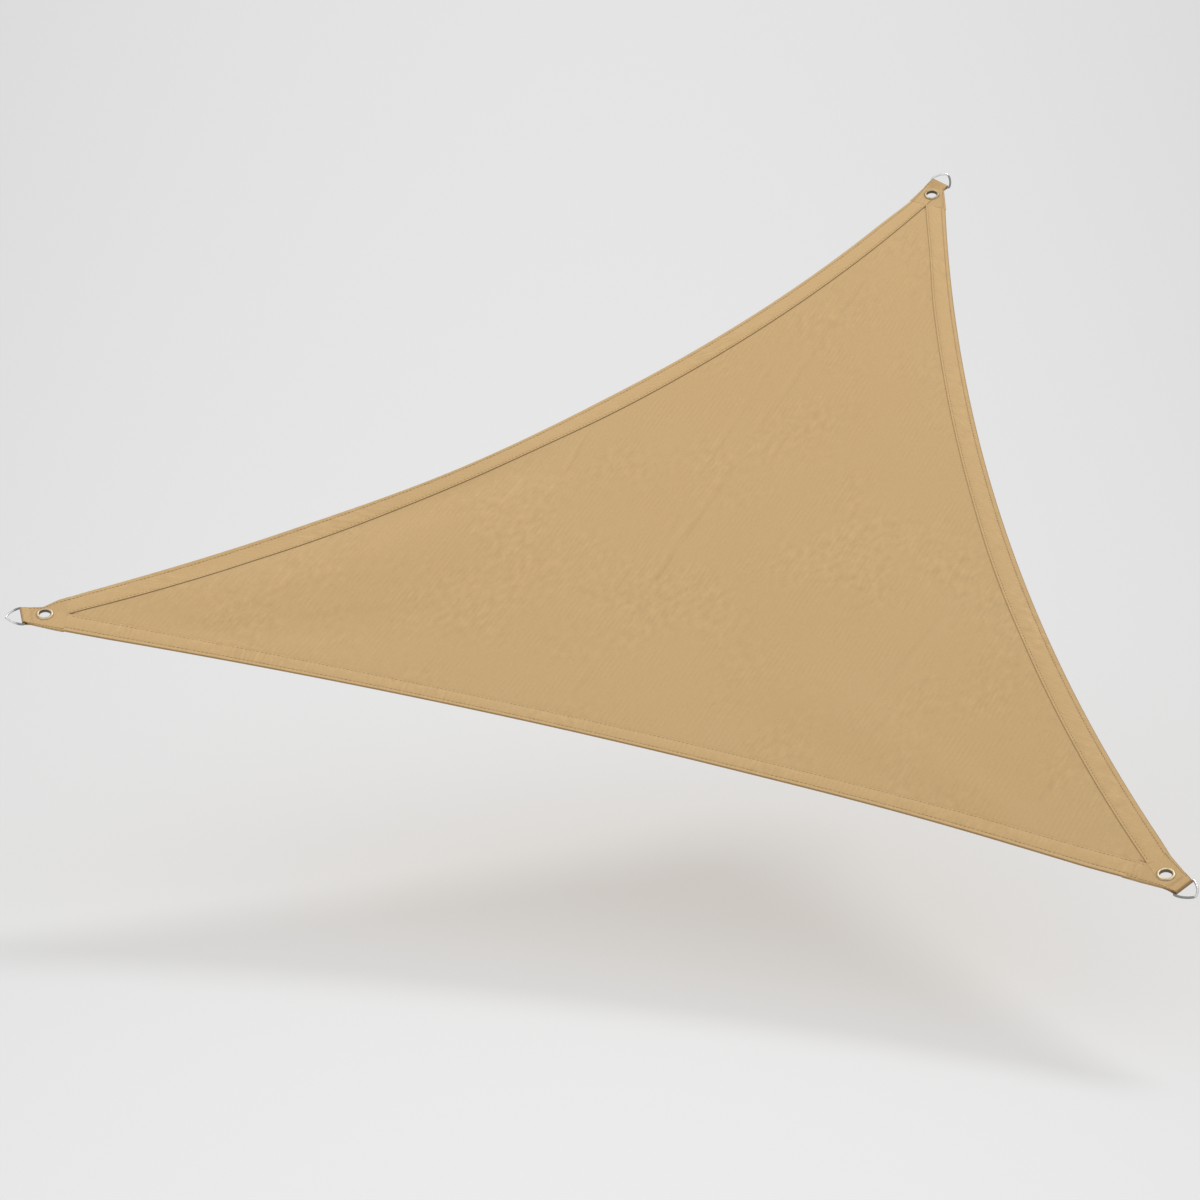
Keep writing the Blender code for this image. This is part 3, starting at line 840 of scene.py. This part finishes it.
def hem_seams(finish):
    bm = bmesh.new()
    for start, row in EDGES.items():
        end, width = row[0], row[5]
        names = list(CORNERS)
        first, last = end_share(start, True), 1 - end_share(end, False)
        count = int((EYES[end] - EYES[start]).length / STITCH_PITCH)
        hollows = {key: hem_hollow(key, 0.0) for key in EDGES}
        for share_out in (SEAMS[0] / width, 1 - SEAMS[1] / width):
            points = []
            for i in range(count + 1):
                t = (i + 0.5) / (count + 1)
                share = [0.0, 0.0, 0.0]
                share[names.index(start)] = 1 - t
                share[names.index(end)] = t
                inner = panel_point(share, 0.0, hollows)
                point = hem_place(start, t, share_out, inner, first, last)[0]
                points.append(lifted(point) - ORIGIN + PLANE_UP * (0.00250 - HEM / 2))
            stitch_line(bm, points, [PLANE_UP] * len(points))
    for f in bm.faces:
        f.smooth = True
    return add_piece("hem_stitches", mesh_from(bm, "hem_stitches"), finish)


# ------------------------------------------------------------------ the corner straps


def strap_side(name, away, on_next):
    """The strap's edge on one side of its middle line, which widens straight up to the cloth's own edge."""
    ends = CORNERS[name][4] if on_next else BAR_OUT
    half = CORNERS[name][6]
    if away < -CLOTH_END:
        half = edge_beside(name, away, on_next)
    elif away < ends:
        wide = edge_beside(name, -CLOTH_END, on_next)
        half += (wide - half) * (ends - away) / (ends + CLOTH_END)
    return -half if on_next else half


def ply_thickness(name, away):
    """The plies are pared down towards their sewn inner ends."""
    end = -CORNERS[name][5]
    return 0.0002 + (PLY - 0.0002) * smooth((away - end) / 0.018)


def ply_height(name, away):
    """The middle of the upper ply over the strap's own plane. Its inner end runs into the hem's face."""
    together = (PLY + GAP) / 2
    if away < 0:
        flush = HEM / 2 + 0.00005
        face = together + PLY / 2
        face += (flush - face) * smooth(-(away + PLIES_MEET) / 0.012)
        return face - ply_thickness(name, away) / 2
    round_bar = WIRE + LOOSE + PLY / 2
    lift = smooth((away - LOOP_STARTS) / (BAR_OUT - LOOP_STARTS))
    return together + (round_bar - together) * lift


def strap_path(name):
    ends = CORNERS[name][4]
    marks = [-CORNERS[name][5], -CLOTH_END, -PLIES_MEET, ends, BAR_OUT]
    stations = []
    for first, last in zip(sorted(marks), sorted(marks)[1:]):
        parts = math.ceil((last - first) / 0.0025 - 0.01)
        stations += [first + (last - first) * i / parts for i in range(parts)]
    upper = [(away, ply_height(name, away)) for away in stations]
    radius = WIRE + LOOSE + PLY / 2
    turn = [math.pi * (0.5 - i / 20) for i in range(21)]
    loop = [(BAR_OUT + radius * math.cos(t), radius * math.sin(t)) for t in turn]
    return upper + loop + [(away, -height) for away, height in reversed(upper)]


def strap_spot(name, away, share):
    """Where in the corner's own plane a point of the strap lies, share 0 at the side of the next corner."""
    if away < -CLOTH_END:
        side = strap_side(name, away, True) * (1 - share)
        side += strap_side(name, away, False) * share
        away = -CLOTH_END + (away + CLOTH_END) * (1 - STRAP_SLANT * side)
    side = strap_side(name, away, True) * (1 - share)
    side += strap_side(name, away, False) * share
    return away, side


def strap_place(name, away, height, share):
    away, side = strap_spot(name, away, share)
    return pulled_matrix(name, away) @ Vector((away, side, height))


def hem_line_past(name):
    """The inner line of the hem that lies on top at a corner, along which a strap gets a painted shade
    line.
    """
    before = next(start for start, row in EDGES.items() if row[0] == name)
    share = [0.0, 0.0, 0.0]
    share[list(CORNERS).index(name)] = 0.97
    share[list(CORNERS).index(before)] = 0.03
    hollows = {start: hem_hollow(start, 0.0) for start in EDGES}
    apex = hem_corner(name, 0.0)
    line = (apex - panel_point(share, 0.0, hollows)).normalized()
    return apex, PLANE_UP.cross(line)


def make_strap(name, finish):
    path = strap_path(name)
    bm = bmesh.new()
    uv = bm.loops.layers.uv.new("flat_cloth")
    layers = bm.verts.layers
    step_of, share_of = layers.int.new("step"), layers.float.new("share")
    beyond, from_fold = layers.float.new("beyond_hem_line"), layers.float.new("from_fold")
    line_shade, fold_shade = layers.float.new("line_shade"), layers.float.new("fold_shade")
    row = []
    for i, (away, height) in enumerate(path):
        v = bm.verts.new(strap_place(name, away, height, 0.0))
        v[step_of] = i
        row.append(v)
    edges = [bm.edges.new(pair) for pair in zip(row, row[1:])]
    cuts = 14
    for cut in range(1, cuts + 1):
        made = bmesh.ops.extrude_edge_only(bm, edges=edges)
        edges = [
            g
            for g in made["geom"]
            if isinstance(g, bmesh.types.BMEdge)
            and abs(g.verts[0][step_of] - g.verts[1][step_of]) == 1
        ]
        for v in new_verts(made):
            away, height = path[v[step_of]]
            v[share_of] = cut / cuts
            v.co = strap_place(name, away, height, cut / cuts)
    apex, across = hem_line_past(name)
    ahead, side_on = out_from(name), PLANE_UP.cross(out_from(name))
    tip = BAR_OUT + WIRE + LOOSE + PLY
    for v in bm.verts:
        away, side = strap_spot(name, path[v[step_of]][0], v[share_of])
        spot = EYES[name] + ahead * away + side_on * side
        v[beyond] = (spot - apex).dot(across)
        # painted shade: the hem's inner line drawn on the strap
        v[line_shade] = STRAP_LINE_SHADES[name] * smooth((-away - 0.012) / 0.003)
        sides = [abs(side - strap_side(name, away, on_next)) for on_next in (True, False)]
        v[from_fold] = min(*sides, (tip - away) * 0.45)
        # painted shade at the strap's fold round the bar, and weaker along its folded sides
        v[fold_shade] = STRAP_FOLD_SHADES[name] if away > 0.02 else 0.4
    for f in bm.faces:
        f.smooth = True
        for loop in f.loops:
            away, side = strap_spot(name, path[loop.vert[step_of]][0], loop.vert[share_of])
            spot = EYES[name] + ahead * away + side_on * side - CENTRE
            loop[uv].uv = (spot.dot(ACROSS_RIBS), spot.dot(RIB))
    bmesh.ops.recalc_face_normals(bm, faces=bm.faces[:])
    weights = [ply_thickness(name, path[v[step_of]][0]) / PLY for v in bm.verts]
    strap = add_piece(
        f"strap_{name}",
        mesh_from(bm, f"strap_{name}"),
        finish,
        [f"corner_strap_{name}"],
    )
    group = strap.vertex_groups.new(name="thickness")
    for index, weight in enumerate(weights):
        group.add([index], weight, "REPLACE")
    thick = strap.modifiers.new("thickness", "SOLIDIFY")
    thick.thickness = PLY
    thick.offset = 0.0
    thick.use_even_offset = True
    thick.vertex_group = group.name
    thick.thickness_vertex_group = 0.0
    punched = strap.modifiers.new("eyelet_hole", "BOOLEAN")
    punched.object = hole_cutter(name)
    punched.operation = "DIFFERENCE"
    punched.solver = "EXACT"
    graph = bpy.context.evaluated_depsgraph_get()
    mesh = bpy.data.meshes.new_from_object(strap.evaluated_get(graph), depsgraph=graph)
    bpy.data.objects.remove(punched.object)
    strap.modifiers.clear()
    strap.data = mesh
    return strap


def hole_cutter(name):
    bm = bmesh.new()
    radius = EYE_BARREL + EYE_CLEARANCE
    bmesh.ops.create_cone(
        bm, cap_ends=True, segments=48, radius1=radius, radius2=radius, depth=0.03
    )
    cutter = bpy.data.objects.new("cutter", mesh_from(bm, "cutter", corner_matrix(name)))
    bpy.context.scene.collection.objects.link(cutter)
    return cutter


def strap_seams(name, finish):
    """A row of stitches along each side of the strap, on both of its faces."""
    bm = bmesh.new()
    inner, outer = 0.003 - CORNERS[name][5], 0.034
    count = int((outer - inner) / 0.006)
    for share in (0.07, 0.93):
        for sign in (1, -1):
            points, ups = [], []
            for i in range(count + 1):
                away = inner + (outer - inner) * i / count
                height = ply_height(name, away) + ply_thickness(name, away) / 2 + 0.0001
                points.append(strap_place(name, away, sign * height, share))
                ups.append(pulled_matrix(name, away).to_3x3() @ Vector((0, 0, sign)))
            stitch_line(bm, points, ups)
    for f in bm.faces:
        f.smooth = True
    title = f"strap_stitches_{name}"
    return add_piece(title, mesh_from(bm, title), finish)


# ------------------------------------------------------------------ the metal


def make_eyelet(name, finish):
    """A spun eyelet: a rolled flange on each face, and a barrel with rounded mouths."""
    under = PLY + 1.5 * GAP
    top = under + EYE_THICK
    half = [
        (EYE_HOLE, 0.0),
        (EYE_HOLE, top - 0.0016),
        (EYE_HOLE + 0.0003, top - 0.0009),
        (EYE_HOLE + 0.0009, top - 0.0003),
        (EYE_HOLE + 0.0018, top - 0.0001),
        (EYE_HOLE + 0.0027, top),
        (EYE_FLANGE - 0.0022, top),
        (EYE_FLANGE - 0.0012, top - 0.0007),
        (EYE_FLANGE - 0.0005, top - 0.0012),
        (EYE_FLANGE - 0.0001, top - 0.0017),
        (EYE_FLANGE, under + 0.0002),
        (EYE_FLANGE - 0.0002, under),
        (EYE_BARREL, under),
        (EYE_BARREL, 0.0),
    ]
    bm = bmesh.new()
    points = [bm.verts.new((r, 0, z)) for r, z in half]
    edges = [bm.edges.new(pair) for pair in zip(points, points[1:])]
    bmesh.ops.spin(
        bm,
        geom=points + edges,
        axis=(0, 0, 1),
        cent=(0, 0, 0),
        angle=math.tau,
        steps=64,
        use_merge=True,
    )
    bmesh.ops.mirror(bm, geom=bm.verts[:] + bm.edges[:] + bm.faces[:], axis="Z", merge_dist=1e-6)
    bmesh.ops.remove_doubles(bm, verts=bm.verts[:], dist=1e-6)
    bmesh.ops.recalc_face_normals(bm, faces=bm.faces[:])
    darkened = bm.verts.layers.float.new("darkened")
    for v in bm.verts:
        out = v.co.xy.length
        # painted shade inside the barrel, and darker at the flange's outer rim
        v[darkened] = 1.0 if out < EYE_HOLE + 0.0004 else 0.7 * (out > EYE_FLANGE - 0.0001)
    for f in bm.faces:
        f.smooth = True
    mesh = mesh_from(bm, f"eyelet_rim_{name}", corner_matrix(name))
    return add_piece(f"eyelet_rim_{name}", mesh, finish, [f"eyelet_{name}"])


def ring_line(wide):
    """The middle line of a ring's wire, in its own plane, X out from the bar."""
    straight = wide - RING_BEND
    half = [Vector((0, straight * i / 4)) for i in range(4)]
    for i in range(9):
        t = math.pi / 2 * i / 8
        x, y = 1 - math.cos(t), math.sin(t)
        half.append(Vector((RING_BEND * x, straight + RING_BEND * y)))
    for i in range(1, 25):
        t = math.pi / 2 * i / 24
        x = math.sin(t) ** (2 / RING_SHAPE) * (RING_DEPTH - RING_BEND)
        y = math.cos(t) ** (2 / RING_SHAPE) * wide if i < 24 else 0.0
        half.append(Vector((RING_BEND + x, y)))
    return half + [Vector((p.x, -p.y)) for p in reversed(half[1:-1])]


def make_ring(name, finish):
    """Bent wire, closed by a weld that stands a little proud on one arm."""
    curve = bpy.data.curves.new(f"wire_{name}", "CURVE")
    curve.dimensions = "3D"
    curve.bevel_depth = WIRE
    curve.bevel_resolution = 6
    line = ring_line(CORNERS[name][6] + RING_WIDER)
    spline = curve.splines.new("POLY")
    spline.points.add(len(line) - 1)
    for i, (point, spot) in enumerate(zip(spline.points, line)):
        point.co = (spot.x, spot.y, 0, 1)
        point.radius = 1.07 if i in (17, 18) else 1.0
    spline.use_cyclic_u = True
    wire = bpy.data.objects.new(f"wire_{name}", curve)
    bpy.context.scene.collection.objects.link(wire)
    graph = bpy.context.evaluated_depsgraph_get()
    mesh = bpy.data.meshes.new_from_object(wire.evaluated_get(graph), depsgraph=graph)
    bpy.data.objects.remove(wire)
    bm = bmesh.new()
    bm.from_mesh(mesh)
    wide = CORNERS[name][6] + RING_WIDER
    darkened = bm.verts.layers.float.new("darkened")
    for v in bm.verts:
        # how much darker each part of the wire is drawn: by arm, towards the arms, and all over
        by_arm, by_nose, all_over = RING_DARKENING[name]
        dimmer = by_arm * v.co.y / wide + by_nose * (1 - v.co.x / RING_DEPTH) + all_over
        v[darkened] = smooth(dimmer / 0.5)
    for f in bm.faces:
        f.smooth = True
    matrix = pulled_matrix(name, BAR_OUT) @ Matrix.Translation((BAR_OUT, 0, 0))
    mesh = mesh_from(bm, f"wire_ring_{name}", matrix)
    return add_piece(f"wire_ring_{name}", mesh, finish, [f"ring_{name}"])


# ------------------------------------------------------------------ floor, light and camera


def make_floor(camera_at):
    """A pale floor that glows with painted light for half its brightness, with painted shade that makes it
    a little darker far off and to the sides.
    """
    bm = bmesh.new()
    bmesh.ops.create_grid(bm, x_segments=8, y_segments=8, size=60)
    shift = Matrix.Translation((0, 40, camera_at.z - FLOOR_UNDER_CAMERA))
    floor = bpy.data.objects.new("floor", mesh_from(bm, "floor", shift))
    made, n, shader = new_material("pale_floor")
    place_in_space = n.add("ShaderNodeTexCoord").outputs["Object"]
    split = n.add("ShaderNodeSeparateXYZ", {0: place_in_space})
    ahead = n.maths("MAXIMUM", n.maths("SUBTRACT", split.outputs[1], camera_at.y), FLOOR_EVEN_TO)
    aside = n.maths("SUBTRACT", split.outputs[0], camera_at.x)
    near = n.maths("DIVIDE", 2.0, ahead)
    level = n.ramp(near, *FLOOR_NEAR, *FLOOR_LEVEL, "LINEAR")
    beside = n.maths("MINIMUM", n.maths("ABSOLUTE", n.maths("DIVIDE", aside, ahead)), 0.19)
    sides = n.ramp(near, *FLOOR_NEAR, *FLOOR_SIDES, "LINEAR")
    beside = n.maths("MULTIPLY", n.maths("MULTIPLY", beside, beside), sides)
    level = n.maths("SUBTRACT", level, beside)
    level = n.maths("MULTIPLY", level, 0.5)
    level = n.add("ShaderNodeCombineXYZ", {0: level, 1: level, 2: level}).outputs[0]
    # the lit colour is a little cool and the glow a little warm, which paints the floor's shadows warmer
    lit = n.mix(1.0, level, (0.96, 1.0, 1.04, 1.0), "MULTIPLY")
    glowing = n.mix(1.0, level, (1.04, 1.0, 0.96, 1.0), "MULTIPLY")
    n.tree.links.new(lit, shader.inputs["Base Color"])
    n.tree.links.new(glowing, shader.inputs["Emission Color"])
    shader.inputs["Emission Strength"].default_value = 1.0
    made.cycles.emission_sampling = "NONE"
    shader.inputs["Roughness"].default_value = 0.95
    shader.inputs["Specular IOR Level"].default_value = 0.1
    floor.data.materials.append(made)
    bpy.context.scene.collection.objects.link(floor)


def make_light():
    key = bpy.data.lights.new("key", "SUN")
    key.energy = 1.0
    key.angle = math.radians(16)
    lamp = bpy.data.objects.new("key", key)
    lamp.rotation_euler = TO_LIGHT.to_track_quat("Z", "Y").to_euler()
    bpy.context.scene.collection.objects.link(lamp)
    world = bpy.data.worlds.new("studio")
    world.use_nodes = True
    n = Nodes(world.node_tree)
    back = world.node_tree.nodes["Background"]
    toward = n.add("ShaderNodeTexCoord").outputs["Generated"]
    split = n.add("ShaderNodeSeparateXYZ", {0: toward})
    dome = n.ramp(split.outputs[2], 0.0, 0.5, 0.40, 1.0)
    front = n.ramp(split.outputs[1], -1.0, 1.0, 1.35, 0.60, "LINEAR")
    seen = n.add("ShaderNodeLightPath").outputs["Is Camera Ray"]
    studio = n.maths("MULTIPLY", dome, front)
    studio = n.ramp(seen, 0.0, 1.0, studio, BACKDROP, "LINEAR")
    n.tree.links.new(studio, back.inputs["Color"])
    back.inputs["Strength"].default_value = 0.86
    bpy.context.scene.world = world
    bpy.context.scene.view_settings.view_transform = "Standard"


def make_camera():
    data = bpy.data.cameras.new("camera")
    data.sensor_width = 36
    data.lens = 105
    data.clip_end = 200
    camera = bpy.data.objects.new("camera", data)
    camera.location = CAMERA_FROM_TOP - ORIGIN
    camera.rotation_euler = (math.radians(76), 0, 0)
    bpy.context.scene.collection.objects.link(camera)
    bpy.context.scene.camera = camera
    return camera


def main():
    camera = make_camera()
    make_light()
    make_floor(camera.location)
    cloth = cloth_material("sand_knit", (1.0, 1.0, 1.0))
    strap_cloth = cloth_material("sand_strap", (0.99, 0.985, 0.98))
    thread = thread_material()
    steel = steel_material("ring_steel", (0.80, 0.81, 0.82), 0.16, (0.26, 0.28, 0.28))
    plated = steel_material("eyelet_plating", (0.62, 0.50, 0.33), 0.40)
    # a darker copy of the plating, used on the top eyelet
    dimmer = steel_material("eyelet_plating_dimmer", (0.47, 0.37, 0.235), 0.40, (0.14, 0.11, 0.07))
    rings = {name: make_ring(name, steel) for name in CORNERS}
    make_cloth(cloth)
    hem_seams(thread)
    for name in CORNERS:
        make_eyelet(name, dimmer if name == "top" else plated)
        make_strap(name, strap_cloth)
        strap_seams(name, thread)


main()
